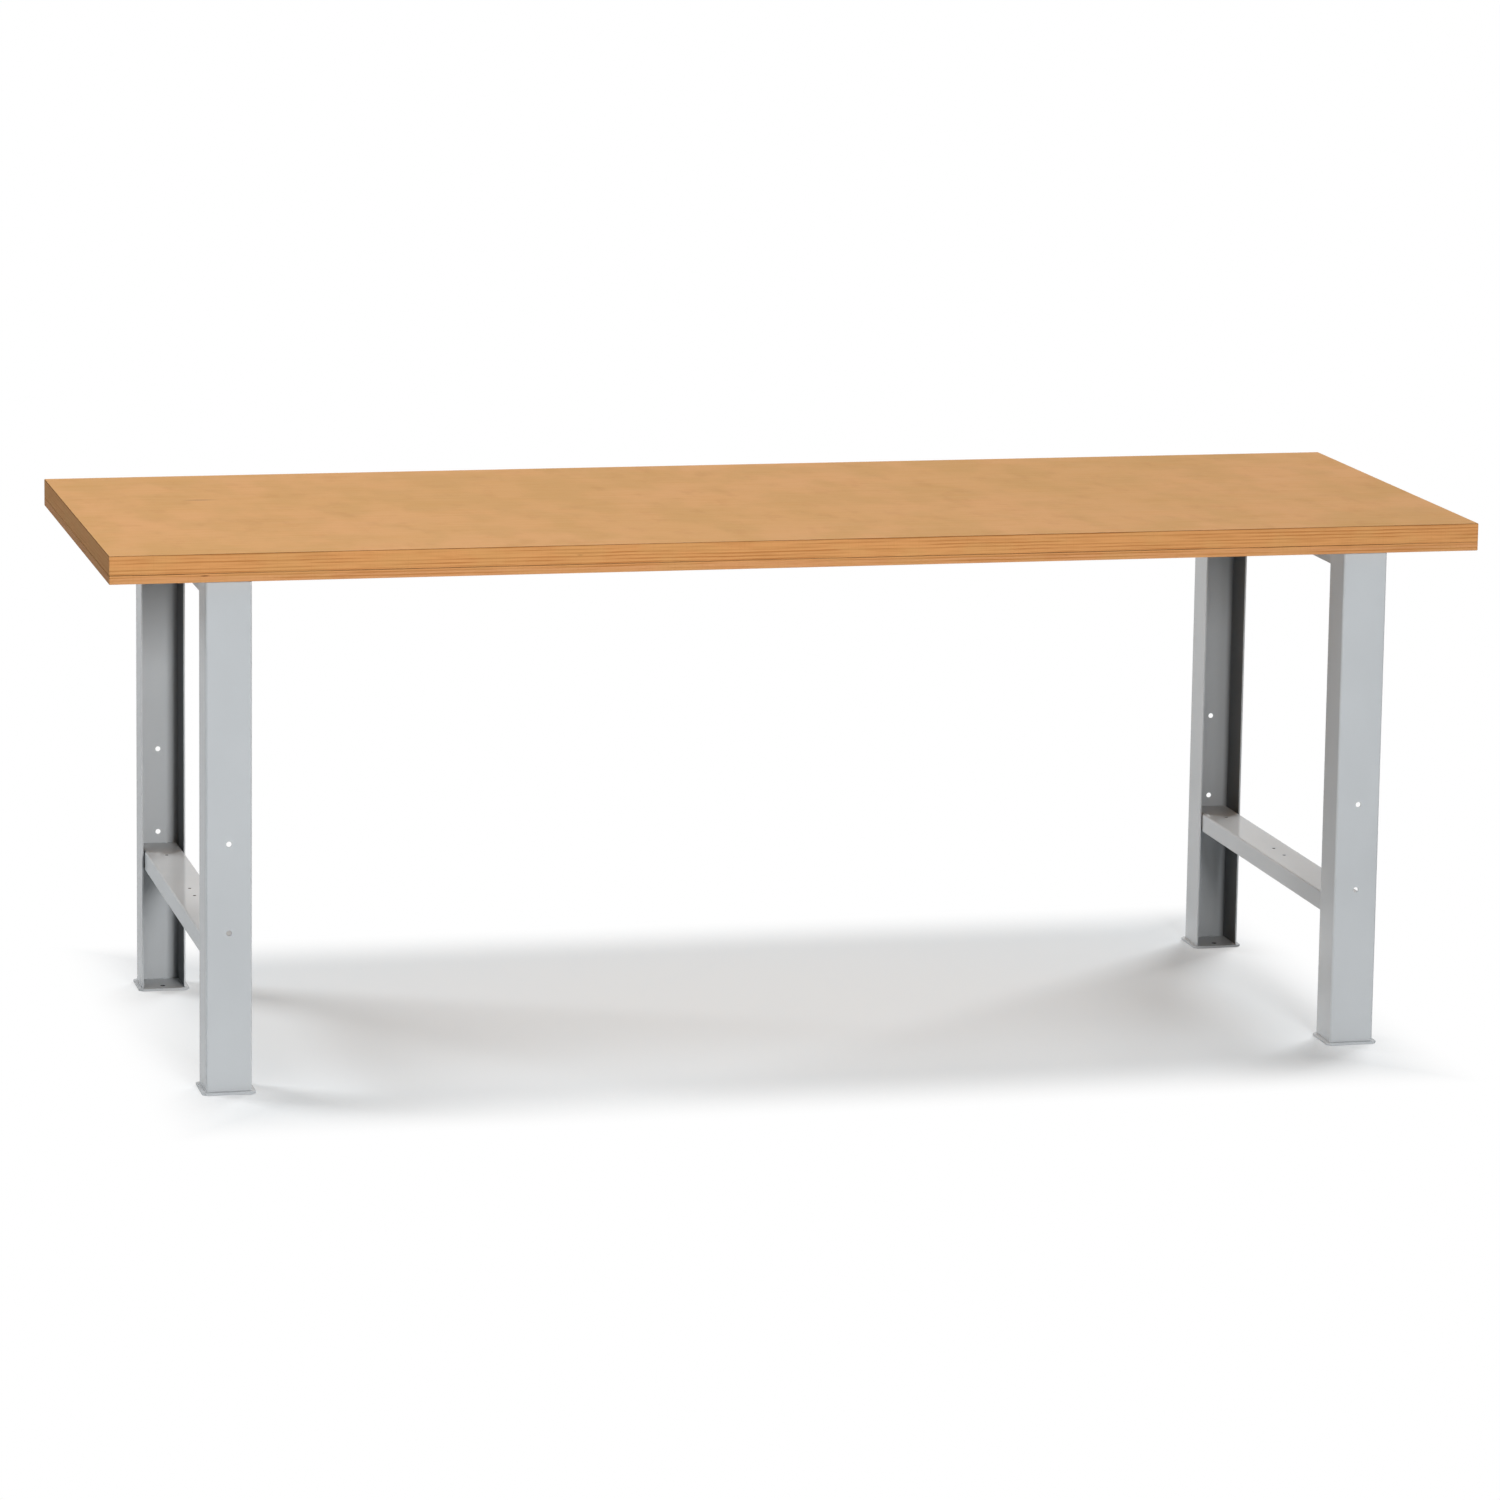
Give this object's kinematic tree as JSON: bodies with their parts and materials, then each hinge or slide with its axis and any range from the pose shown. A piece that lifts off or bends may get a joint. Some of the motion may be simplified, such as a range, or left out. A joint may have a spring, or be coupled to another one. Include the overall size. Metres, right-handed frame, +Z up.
{
  "type": "workbench",
  "caption": "Workbench with a thick plywood worktop on two welded leg frames of folded sheet steel channel, each with a lower rail and foot plates.",
  "frame": {"origin": "on the floor, under the middle of the worktop", "axes": "+X along the bench, to the right as seen from its front, +Y towards its rear, +Z up"},
  "size_m": [2.2, 0.8, 0.85],
  "materials": {
    "plywood": "satin",
    "powder_coat": "satin",
    "zinc": "satin"
  },
  "bodies": {
    "root": {"worktop_upper_board": "plywood", "worktop_lower_board": "plywood", "left_front_post": "powder_coat", "left_rear_post": "powder_coat", "left_lower_rail": "powder_coat", "left_upper_rail": "powder_coat", "left_front_foot_plate": "powder_coat", "left_rear_foot_plate": "powder_coat", "left_worktop_washer_1": "zinc", "left_worktop_screw_1": "zinc", "left_worktop_washer_2": "zinc", "left_worktop_screw_2": "zinc", "left_worktop_washer_3": "zinc", "left_worktop_screw_3": "zinc", "left_worktop_washer_4": "zinc", "left_worktop_screw_4": "zinc", "right_front_post": "powder_coat", "right_rear_post": "powder_coat", "right_lower_rail": "powder_coat", "right_upper_rail": "powder_coat", "right_front_foot_plate": "powder_coat", "right_rear_foot_plate": "powder_coat", "right_worktop_washer_1": "zinc", "right_worktop_screw_1": "zinc", "right_worktop_washer_2": "zinc", "right_worktop_screw_2": "zinc", "right_worktop_washer_3": "zinc", "right_worktop_screw_3": "zinc", "right_worktop_washer_4": "zinc", "right_worktop_screw_4": "zinc"}
  },
  "joints": []
}
